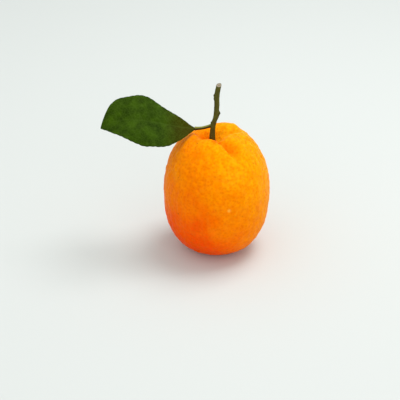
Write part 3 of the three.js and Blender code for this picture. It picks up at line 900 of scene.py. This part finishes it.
def rescale(tree, value, low, high, to_low=0.0, to_high=1.0):
    """Moves a value from one range to another, with a soft start and end."""
    inputs = {"Value": value, "From Min": low, "From Max": high,
              "To Min": to_low, "To Max": to_high}
    node = add(tree, "ShaderNodeMapRange", inputs, interpolation_type="SMOOTHSTEP")
    return node.outputs["Result"]


# %% Groups and materials
VECTOR, NUMBER = "NodeSocketVector", "NodeSocketFloat"
PER_MM = 1000.0  # one cell for each millimetre, counted per metre


def new_group(name, own_inputs, output):
    """An empty node group that reads a place, a number per metre and inputs of its own.

    It gives the group, the sockets to read from, and the one number to work out.
    """
    tree = bpy.data.node_groups.new(name, "ShaderNodeTree")
    for socket, kind in {"Place": VECTOR, "Per Metre": NUMBER, **own_inputs}.items():
        tree.interface.new_socket(socket, in_out="INPUT", socket_type=kind)
    tree.interface.new_socket(output, in_out="OUTPUT", socket_type=NUMBER)
    given = tree.nodes.new("NodeGroupInput").outputs
    return tree, given, tree.nodes.new("NodeGroupOutput").inputs[output]


def use_group(tree, group, place, size, **own_inputs):
    """One use of a group in a material, with a size in millimetres and values of its own."""
    inputs = {"Place": place, "Per Metre": PER_MM / size, **own_inputs}
    return add(tree, "ShaderNodeGroup", inputs, node_tree=group).outputs[0]


def new_material(name):
    """A material with its Principled shader, and the place on the piece in metres."""
    material = bpy.data.materials.new(name)
    material.use_nodes = True
    tree = material.node_tree
    place = add(tree, "ShaderNodeTexCoord", {}).outputs["Object"]
    return material, tree, tree.nodes["Principled BSDF"], place


def read_painted(tree, name):
    """The node that reads what was painted on the points of a piece."""
    return add(tree, "ShaderNodeAttribute", {}, attribute_name=name)


def read_value(tree, name):
    """A number that was painted on the points of a piece."""
    return read_painted(tree, name).outputs["Fac"]


def dent(tree, shader, heights):
    """Feeds the shader's normal from bumps in a chain: height links and their depths in mm."""
    before = {}
    for height, depth in heights:
        inputs = {"Height": height, "Distance": depth * MM, "Strength": 1.0, **before}
        before = {"Normal": add(tree, "ShaderNodeBump", inputs).outputs["Normal"]}
    fill(tree, shader, before)


# %% [markdown]
# ## Effects that several pieces share
# Citrus has oil glands in its peel and in its leaves, everything grown is mottled, bark and
# stalk have fibres, and rind and bark carry a few specks. Each effect is one node group, so
# that it is built once and every material sets its own size and strength.

# %% The groups
def voronoi_dots(tree, given):
    """Cells at scattered places, and dots: 1 at a cell's middle, 0 beyond the width."""
    inputs = {"Vector": given["Place"], "Scale": given["Per Metre"]}
    cells = add(tree, "ShaderNodeTexVoronoi", inputs).outputs
    return cells, rescale(tree, cells["Distance"], given["Width"], 0.0)


def oil_gland_group():
    """Dots at scattered places, one in each cell."""
    tree, given, result = new_group("oil_glands", {"Width": NUMBER}, "Gland")
    tree.links.new(voronoi_dots(tree, given)[1], result)
    return tree


def speck_group():
    """Few scattered specks: only cells whose drawn number is high enough carry one."""
    tree, given, result = new_group("specks", {"Width": NUMBER, "Rarity": NUMBER}, "Speck")
    cells, dots = voronoi_dots(tree, given)
    drawn = add(tree, "ShaderNodeSeparateColor", {"Color": cells["Color"]}).outputs["Red"]
    chosen = calculate(tree, "GREATER_THAN", drawn, given["Rarity"])
    tree.links.new(calculate(tree, "MULTIPLY", dots, chosen), result)
    return tree


def mottling_group():
    """Slow cloudy patches from 0 to 1, out of a noise of several sizes."""
    tree, given, result = new_group("mottling", {"Detail": NUMBER}, "Patch")
    clouds = add(tree, "ShaderNodeTexNoise", {
        "Vector": given["Place"], "Scale": given["Per Metre"],
        "Detail": given["Detail"], "Roughness": 0.55,
    })
    tree.links.new(rescale(tree, clouds.outputs["Fac"], 0.3, 0.7), result)
    return tree


def fibre_group():
    """Streaks that run along one direction: noise in a space that is squeezed that way."""
    tree, given, result = new_group("fibres", {"Squeeze": VECTOR}, "Fibre")
    inputs = {0: given["Place"], 1: given["Squeeze"]}
    squeezed = add(tree, "ShaderNodeVectorMath", inputs, operation="MULTIPLY")
    streaks = add(tree, "ShaderNodeTexNoise", {
        "Vector": squeezed.outputs[0], "Scale": given["Per Metre"],
        "Detail": 4.0, "Roughness": 0.6,
    })
    tree.links.new(rescale(tree, streaks.outputs["Fac"], 0.32, 0.68), result)
    return tree


OIL_GLANDS, SPECKS = oil_gland_group(), speck_group()
MOTTLING, FIBRES = mottling_group(), fibre_group()
print("node groups:", [group.name for group in bpy.data.node_groups])

# %% [markdown]
# ## Rind
# Ripe mandarin peel is a deep orange that is yellower on the crown and right cheek, and
# redder low down; both are partly the peel's own colour and partly painted light, gold where
# the light falls most and red where orange light bounced up. The creases are tinted deeper
# with painted shade, and two broad patches of the crown carry a painted highlight in paler
# gold. The glands shine through as darker dots between soft blotches, and a painted sheen runs
# down the flanks in pale streaks. Light enters the peel a little way before it comes back out,
# so it gets a little subsurface scattering. A few corky specks and one small pale spot keep
# it from looking moulded.

# %% Colours of the rind from the crown down
# The gold of the crown and right cheek is partly the peel's own colour and partly painted light;
# the red low down is partly painted bounce light.
SUNNY_AND_LIT, RIPE, DEEP = colour(255, 162, 2), colour(253, 143, 0), colour(248, 66, 0)
SUNNY_AND_LIT_LEVEL, RIPE_LEVEL, DEEP_LEVEL = 78 * MM, 56 * MM, 8 * MM  # of the height, as shifted
DEEP_SHARE = 0.96
CLOUD_SIZE, CLOUD_DRIFT = PER_MM / 70, 14 * MM  # a size in millimetres, a shift in metres
CHEEK_SLOPE, CHEEK_LEAST = 1.05, -14 * MM  # metres of level for a metre of X


def rind_colour(tree, place, across, up):
    """Sunny and lit above, ripe at the middle and deep below, with clouds that move the borders.

    The level is the height, plus the clouds' drift, plus a slope that lifts the right cheek. The
    gold above and on the right cheek is partly painted light, and the red below is partly painted
    bounce light.
    """
    clouds = use_group(tree, MOTTLING, place, CLOUD_SIZE, Detail=3.0)
    drift = calculate(tree, "MULTIPLY", clouds, CLOUD_DRIFT)
    cheek = calculate(tree, "MULTIPLY", across, CHEEK_SLOPE)
    cheek = calculate(tree, "MAXIMUM", cheek, CHEEK_LEAST)
    level = calculate(tree, "ADD", calculate(tree, "ADD", up, drift), cheek)
    upper = rescale(tree, level, RIPE_LEVEL, SUNNY_AND_LIT_LEVEL)
    lower = rescale(tree, level, RIPE_LEVEL, DEEP_LEVEL, 0.0, DEEP_SHARE)
    return blend_colours(tree, lower, blend_colours(tree, upper, RIPE, SUNNY_AND_LIT), DEEP)


# %% Marks on the rind
# the first colour is painted shade for the creases and the dimple
FOLD_PAINTED_SHADE, FOLD_PAINTED_SHADE_SHARE = colour(226, 84, 0), 0.8
BLOTCH, BLOTCH_SHARE, BLOTCH_SIZE = colour(228, 96, 0), 0.38, 2.6
GLAND_TINT, GLAND_SHARE, GLAND_SIZE, GLAND_WIDTH = colour(216, 80, 0), 0.3, 1.6, 0.7
# Painted sheen: pale streaks where grazing light glints on the flanks.
SHEEN_STREAK, SHEEN_STREAK_SIZE, SHEEN_STREAK_SQUEEZE = colour(255, 192, 70), 1.3, (1.0, 1.0, 0.15)
SHEEN_FROM, SHEEN_TO, SHEEN_SHARES = 19 * MM, 28 * MM, (0.04, 0.1)  # by distance from X = 0
CORK, CORK_SHARE = colour(122, 62, 16), 0.7
# Painted highlights in pale gold where the light falls brightest: the cheek below the long crease
# and the back shoulder.
HIGHLIGHT_GOLD = colour(255, 182, 14)
PAINTED_HIGHLIGHTS = [  # place, radius, share: the cheek below the long crease, and the back shoulder
    (Vector((8.5, -23.5, 57)) * MM, 11 * MM, 0.55),
    (Vector((6.0, 8.0, 71)) * MM, 16 * MM, 0.6),
]
PALE_SPOT, PALE_SPOT_SHARE = colour(255, 190, 80), 0.6
PALE_SPOT_PLACE, PALE_SPOT_RADIUS = Vector((6.5, -28.9, 38.7)) * MM, 1.6 * MM
SCAR_PLACE, SCAR_STAIN = (0, 0, HOLLOW_RISE * MM), 2.0 * MM


def near_point(tree, place, point, radius):
    """1 at a point and 0 beyond a radius round it."""
    apart = add(tree, "ShaderNodeVectorMath", {0: place, 1: point}, operation="DISTANCE")
    return rescale(tree, apart.outputs["Value"], radius, 0.0)


def sheen_streaks(tree, place, across):
    """Painted sheen: pale fibres that run up and down, stronger towards the left and right flanks.
    """
    fibre = use_group(tree, FIBRES, place, SHEEN_STREAK_SIZE, Squeeze=SHEEN_STREAK_SQUEEZE)
    aside = calculate(tree, "ABSOLUTE", across)
    flank = rescale(tree, aside, SHEEN_FROM, SHEEN_TO, *SHEEN_SHARES)
    return rescale(tree, fibre, 0.2, 1.0), flank


def rind_marks(tree, place, across, base, gland):
    """Lays marks on the rind: painted shade and highlights, blotches, painted sheen, glands, cork.
    """
    # painted shade darkens the folds
    base = tint(tree, base, read_value(tree, "painted_fold_shade"), FOLD_PAINTED_SHADE_SHARE, FOLD_PAINTED_SHADE)
    # painted highlights in pale gold
    for highlight_place, radius, share in PAINTED_HIGHLIGHTS:
        base = tint(tree, base, near_point(tree, place, highlight_place, radius), share, HIGHLIGHT_GOLD)
    blotches = use_group(tree, MOTTLING, place, BLOTCH_SIZE, Detail=3.0)
    base = tint(tree, base, blotches, BLOTCH_SHARE, BLOTCH)
    # painted sheen in pale streaks
    base = tint(tree, base, *sheen_streaks(tree, place, across), SHEEN_STREAK)
    base = tint(tree, base, gland, GLAND_SHARE, GLAND_TINT)
    specks = use_group(tree, SPECKS, place, size=5, Width=0.12, Rarity=0.72)
    base = tint(tree, base, specks, CORK_SHARE, CORK)
    base = tint(tree, base, near_point(tree, place, PALE_SPOT_PLACE, PALE_SPOT_RADIUS), PALE_SPOT_SHARE, PALE_SPOT)
    return blend_colours(tree, near_point(tree, place, SCAR_PLACE, SCAR_STAIN), base, CORK)


# %% The rind's material
WAX_ROUGHNESS, WAX_VARIES = 0.40, 0.12
GLAND_PIT, GRAIN_PIT = 0.09, 0.015  # depths of the bumps, in millimetres


def rind_material():
    """The colours and marks under a dull wax that is dented by the glands and a fine grain."""
    material, tree, shader, place = new_material("rind")
    axes = add(tree, "ShaderNodeSeparateXYZ", {"Vector": place}).outputs
    gland = use_group(tree, OIL_GLANDS, place, GLAND_SIZE, Width=GLAND_WIDTH)
    grain = use_group(tree, MOTTLING, place, size=0.5, Detail=2.0)
    base = rind_colour(tree, place, axes["X"], axes["Z"])
    fill(tree, shader, {
        "Base Color": rind_marks(tree, place, axes["X"], base, gland),
        "Roughness": calculate(tree, "MULTIPLY_ADD", grain, WAX_VARIES, WAX_ROUGHNESS),
        "Specular IOR Level": 0.03,
        "Specular Tint": colour(255, 170, 20),
        "Subsurface Weight": 0.1,
        "Subsurface Radius": (1.0, 0.3, 0.02),
        "Subsurface Scale": 1.5 * MM,
    })
    dent(tree, shader, [(calculate(tree, "MULTIPLY", gland, -1.0), GLAND_PIT), (grain, GRAIN_PIT)])
    return material


rind.data.materials.append(rind_material())

# %% [markdown]
# ## Bark, cut wood and calyx
# The shoot is still green under a thin brown bark, so both colours show as streaks along it.
# Knots are darker, and small pale pores are scattered over it. The cut face was marked when
# the rings were made: pale wood, a darker pith in the middle and an olive line under the bark.
# The calyx and the bud have the same streaks but are duller, and the calyx is browner.

# %% The bark's material
BARK = dict(green=colour(88, 92, 28), brown=colour(80, 72, 20), dark=colour(44, 38, 8))
PORE, PORE_SHARE = colour(140, 134, 84), 0.7
CUT_WOOD, CUT_PITH, CUT_RIM = colour(150, 137, 118), colour(116, 96, 74), colour(88, 82, 40)
ALONG_X, ALONG_Z = (0.12, 1.0, 1.0), (1.0, 1.0, 0.12)
FIBRE_DENT, BARK_GLOSS, BARK_CLOUD_SHARE = 0.05, 0.15, 0.5
KNOT_RISES = (0.2, 1.0)  # millimetres, where the dark tint starts and where it is full
PITH_EDGE, RIM_EDGE = (0.3, 0.15), (0.8, 0.95)  # the same, in shares of the cut's radius


def bark_tones(tree, place, green, brown, dark):
    """Green and brown in streaks along the twig, with dark clouds over them; and the streaks."""
    fibre = use_group(tree, FIBRES, place, size=0.45, Squeeze=ALONG_Z)
    clouds = use_group(tree, MOTTLING, place, size=4, Detail=3.0)
    tone = blend_colours(tree, fibre, brown, green)
    return tint(tree, tone, clouds, BARK_CLOUD_SHARE, dark), fibre


def bark_material():
    """Bark with darker knots and pale pores, and wood, pith and rim on the cut face."""
    material, tree, shader, place = new_material("bark")
    tone, fibre = bark_tones(tree, place, **BARK)
    knots = rescale(tree, read_value(tree, "knot"), *KNOT_RISES)
    tone = blend_colours(tree, knots, tone, BARK["dark"])
    pores = use_group(tree, SPECKS, place, size=1.2, Width=0.22, Rarity=0.5)
    tone = tint(tree, tone, pores, PORE_SHARE, PORE)
    out = read_value(tree, "out_from_pith")
    face = blend_colours(tree, rescale(tree, out, *PITH_EDGE), CUT_WOOD, CUT_PITH)
    face = blend_colours(tree, rescale(tree, out, *RIM_EDGE), face, CUT_RIM)
    tone = blend_colours(tree, read_value(tree, "cut_face"), tone, face)
    fill(tree, shader, {"Base Color": tone, "Roughness": 0.7, "Specular IOR Level": BARK_GLOSS})
    dent(tree, shader, [(fibre, FIBRE_DENT)])
    return material


twig.data.materials.append(bark_material())

# %% Dry calyx and bud
DRY = dict(green=colour(96, 88, 40), brown=colour(104, 72, 30), dark=colour(46, 30, 10))


def dry_material(name, tones):
    """The bark's streaks without its pores and knots, and duller."""
    material, tree, shader, place = new_material(name)
    tone, fibre = bark_tones(tree, place, **tones)
    fill(tree, shader, {"Base Color": tone, "Roughness": 0.8, "Specular IOR Level": BARK_GLOSS})
    dent(tree, shader, [(fibre, FIBRE_DENT)])
    return material


calyx.data.materials.append(dry_material("dry_calyx", DRY))
bud.data.materials.append(dry_material("bud_scales", BARK))

# %% [markdown]
# ## Leaf and stalk
# The upper face is a dark, slightly waxy green with paler veins, olive and brown towards the
# base where the blade is oldest, and a darker rim that is partly painted shade on its edge.
# The underside is paler. The patterns are laid out in the leaf's own measure, stored on its
# points, so they follow the blade as it folds and waves. The stalk carries painted light: a lit
# green above and a shaded brown below.

# %% The leaf's material
LEAF_GREEN, LEAF_DARK, LEAF_OLIVE = colour(51, 76, 3), colour(32, 51, 2), colour(58, 49, 0)
LEAF_VEIN, LEAF_BACK, LEAF_RIM_AND_SHADE = colour(104, 130, 52), colour(116, 140, 74), colour(34, 48, 10)
OLIVE_TO, OLIVE_FROM, OLIVE_SHARE = 20 * MM, 2 * MM, 0.85  # by distance along from the joint
VEIN_SHARE, NET_SHARE, BACK_VEIN_SHARE, RIM_AND_SHADE_SHARE = 0.12, 0.12, 0.5, 0.7
NET_SIZE, NET_WIDTH, NET_DENT = 1.5, 0.12, 0.05
LEAF_GLAND_SIZE, LEAF_GLAND_WIDTH, LEAF_GLAND_DENT = 0.8, 0.4, 0.03
LEAF_ROUGHNESS = (0.46, 0.6)  # between the clouds and on them


def leaf_net(tree, place):
    """The finest veins: 1 on the borders of scattered cells, 0 a little way off."""
    cells = add(tree, "ShaderNodeTexVoronoi", {"Vector": place, "Scale": PER_MM / NET_SIZE},
                feature="DISTANCE_TO_EDGE")
    return rescale(tree, cells.outputs["Distance"], NET_WIDTH, 0.0)


def upper_leaf(tree, along, clouds, net, vein):
    """Clouded green, olive at the base, paler veins, and a darker rim that is partly painted
    shade.
    """
    tone = blend_colours(tree, clouds, LEAF_GREEN, LEAF_DARK)
    tone = tint(tree, tone, rescale(tree, along, OLIVE_TO, OLIVE_FROM), OLIVE_SHARE, LEAF_OLIVE)
    veins = calculate(tree, "MAXIMUM", calculate(tree, "MULTIPLY", vein, VEIN_SHARE),
                      calculate(tree, "MULTIPLY", net, NET_SHARE))
    tone = blend_colours(tree, veins, tone, LEAF_VEIN)
    # The darker rim is partly the margin's own colour and partly painted shade on the edge.
    rim = rescale(tree, read_value(tree, "to_margin"), 0.95, 1.0)
    return tint(tree, tone, rim, RIM_AND_SHADE_SHARE, LEAF_RIM_AND_SHADE)


def leaf_material():
    """The dark upper face and the paler back, dented by the fine veins and the glands."""
    material, tree, shader, _ = new_material("leaf")
    place = read_painted(tree, "leaf_place").outputs["Vector"]
    along = add(tree, "ShaderNodeSeparateXYZ", {"Vector": place}).outputs["X"]
    clouds = use_group(tree, MOTTLING, place, size=7, Detail=4.0)
    net, vein = leaf_net(tree, place), read_value(tree, "vein")
    upper = upper_leaf(tree, along, clouds, net, vein)
    back = tint(tree, LEAF_BACK, vein, BACK_VEIN_SHARE, LEAF_VEIN)
    fill(tree, shader, {
        "Base Color": blend_colours(tree, read_value(tree, "upper_face"), back, upper),
        "Roughness": rescale(tree, clouds, 0.0, 1.0, *LEAF_ROUGHNESS),
        "Specular IOR Level": 0.02,
    })
    glands = use_group(tree, OIL_GLANDS, place, LEAF_GLAND_SIZE, Width=LEAF_GLAND_WIDTH)
    dent(tree, shader, [(net, NET_DENT), (glands, LEAF_GLAND_DENT)])
    return material


leaf.data.materials.append(leaf_material())

# %% The stalk's material
# Painted light on the stalk: a paler lit green on top and dark painted shade below; the dark
# colour also tints the fibres.
STALK_LIT_TOP, STALK_SIDE, STALK_SHADE_AND_FIBRE = colour(142, 144, 56), colour(76, 68, 16), colour(46, 30, 2)
SIDE_FROM, TOP_FROM = (-0.3, 0.5), (0.3, 0.95)  # sines of the angle round the stalk
STALK_FIBRE_SHARE, STALK_FIBRE_DENT = 0.35, 0.03


def stalk_material():
    """Green above as painted light, brown at the sides, dark below as painted shade; fibres along
    X.
    """
    material, tree, shader, place = new_material("leaf_stalk")
    fibre = use_group(tree, FIBRES, place, size=0.4, Squeeze=ALONG_X)
    upper = read_value(tree, "upper_side")
    tone = blend_colours(tree, rescale(tree, upper, *SIDE_FROM), STALK_SHADE_AND_FIBRE, STALK_SIDE)
    tone = blend_colours(tree, rescale(tree, upper, *TOP_FROM), tone, STALK_LIT_TOP)
    tone = tint(tree, tone, fibre, STALK_FIBRE_SHARE, STALK_SHADE_AND_FIBRE)
    fill(tree, shader, {"Base Color": tone, "Roughness": 0.55, "Specular IOR Level": BARK_GLOSS})
    dent(tree, shader, [(fibre, STALK_FIBRE_DENT)])
    return material


stalk.data.materials.append(stalk_material())

# %% [markdown]
# ## Which piece stands for which solid
# Each skin rides on the one body of the part and takes the place of its solid. The bud is one
# with the twig in the solids, so it only rides along.

# %% Ride and replace
for piece, node, finish in [
    (rind, "fruit", "rind"),
    (calyx, "calyx", "calyx"),
    (twig, "stem", "bark"),
    (stalk, "leaf_stalk", "leaf_stalk"),
    (leaf, "leaf_blade", "leaf"),
    (bud, None, "bark"),
]:
    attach(piece, "root")
    if node:
        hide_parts(node)
print("pieces:", [piece.name for piece in (rind, calyx, twig, stalk, leaf, bud)])

# %% [markdown]
# ## Floor, light and camera
# The fruit stands on a plain pale floor, so large that its far edge shows only from close to
# the ground. A soft light high above, from the right and slightly behind, brightens the
# crown. A larger one low in front and a weaker one at the left open up the shaded sides, and
# an even pale sky fills the rest, so the shadows stay soft. The camera looks down at thirty
# degrees through a long lens, from a short step away.

# %% Floor and sky
FLOOR_HALF = 6.0  # metres
FLOOR_COLOUR, SKY_COLOUR = (0.624, 0.642, 0.630, 1), (0.96, 1.0, 0.98, 1)
SKY_STRENGTH = 0.85


def pale_floor():
    """One large square at the height of the fruit's flat spot."""
    mesh = bpy.data.meshes.new("floor")
    corners = [(-1, -1), (1, -1), (1, 1), (-1, 1)]
    places_on_floor = [(x * FLOOR_HALF, y * FLOOR_HALF, 0) for x, y in corners]
    mesh.from_pydata(places_on_floor, [], [(0, 1, 2, 3)])
    material, tree, shader, _ = new_material("pale_floor")
    fill(tree, shader, {"Base Color": FLOOR_COLOUR, "Roughness": 0.9, "Specular IOR Level": 0.1})
    mesh.materials.append(material)
    return new_object("floor", mesh)


def sky():
    """An even pale light from all round."""
    world = bpy.data.worlds.new("sky")
    world.use_nodes = True
    background = world.node_tree.nodes["Background"]
    fill(world.node_tree, background, {"Color": SKY_COLOUR, "Strength": SKY_STRENGTH})
    bpy.context.scene.world = world


pale_floor()
sky()


# %% Lights
def soft_light(name, place, size, watts, spread):
    """A square light at a place in metres, turned to look at the fruit."""
    lamp = bpy.data.lights.new(name, "AREA")
    lamp.size, lamp.energy = size, watts
    lamp.spread = math.radians(spread)
    holder = new_object(name, lamp)
    holder.location = place
    aim = Vector((0, 0, WIDEST_HEIGHT * MM)) - Vector(place)
    holder.rotation_euler = aim.to_track_quat("-Z", "Y").to_euler()


soft_light("key", (0.36, 0.2, 1.05), 0.6, 2.9, 110)
soft_light("front", (0.45, -1.3, 0.5), 1.0, 3.3, 180)
soft_light("left", (-0.7, -1.1, 0.7), 1.0, 1.0, 180)

# %% The camera
FRAME_PIXELS = 400
SENSOR = 36.0
LOOK_DOWN = math.radians(30)
CAMERA_DISTANCE = 0.7
PIXEL_SIZE = 0.558 * MM  # at the fruit
AIM_HEIGHT = 37.2 * MM
AIM_PIXEL = (216.5, 187.0)  # where that point of the fruit's axis lands


def place_camera():
    """Steps back from the aim along the view, then aside so that the aim lands on its pixel."""
    forward = Vector((0, math.cos(LOOK_DOWN), -math.sin(LOOK_DOWN)))
    up = Vector((0, math.sin(LOOK_DOWN), math.cos(LOOK_DOWN)))
    aside = (AIM_PIXEL[0] - FRAME_PIXELS / 2) * PIXEL_SIZE
    above = (FRAME_PIXELS / 2 - AIM_PIXEL[1]) * PIXEL_SIZE
    lens = bpy.data.cameras.new("camera")
    lens.sensor_width = SENSOR
    lens.lens = SENSOR * CAMERA_DISTANCE / (PIXEL_SIZE * FRAME_PIXELS)
    camera = new_object("camera", lens)
    aim = Vector((0, 0, AIM_HEIGHT))
    camera.location = aim - Vector((aside, 0, 0)) - above * up - CAMERA_DISTANCE * forward
    camera.rotation_euler = (math.pi / 2 - LOOK_DOWN, 0, 0)
    bpy.context.scene.camera = camera
    print("lens", round(lens.lens, 1), "mm at", [round(c, 3) for c in camera.location])


place_camera()
bpy.context.scene.view_settings.view_transform = "Standard"

# %% [markdown]
# ## Last step
# Last, the scene is brought up to date. The dressed fruit has to stay inside the box of its
# solids, give or take a few millimetres.

# %% Last step
bpy.context.view_layer.update()
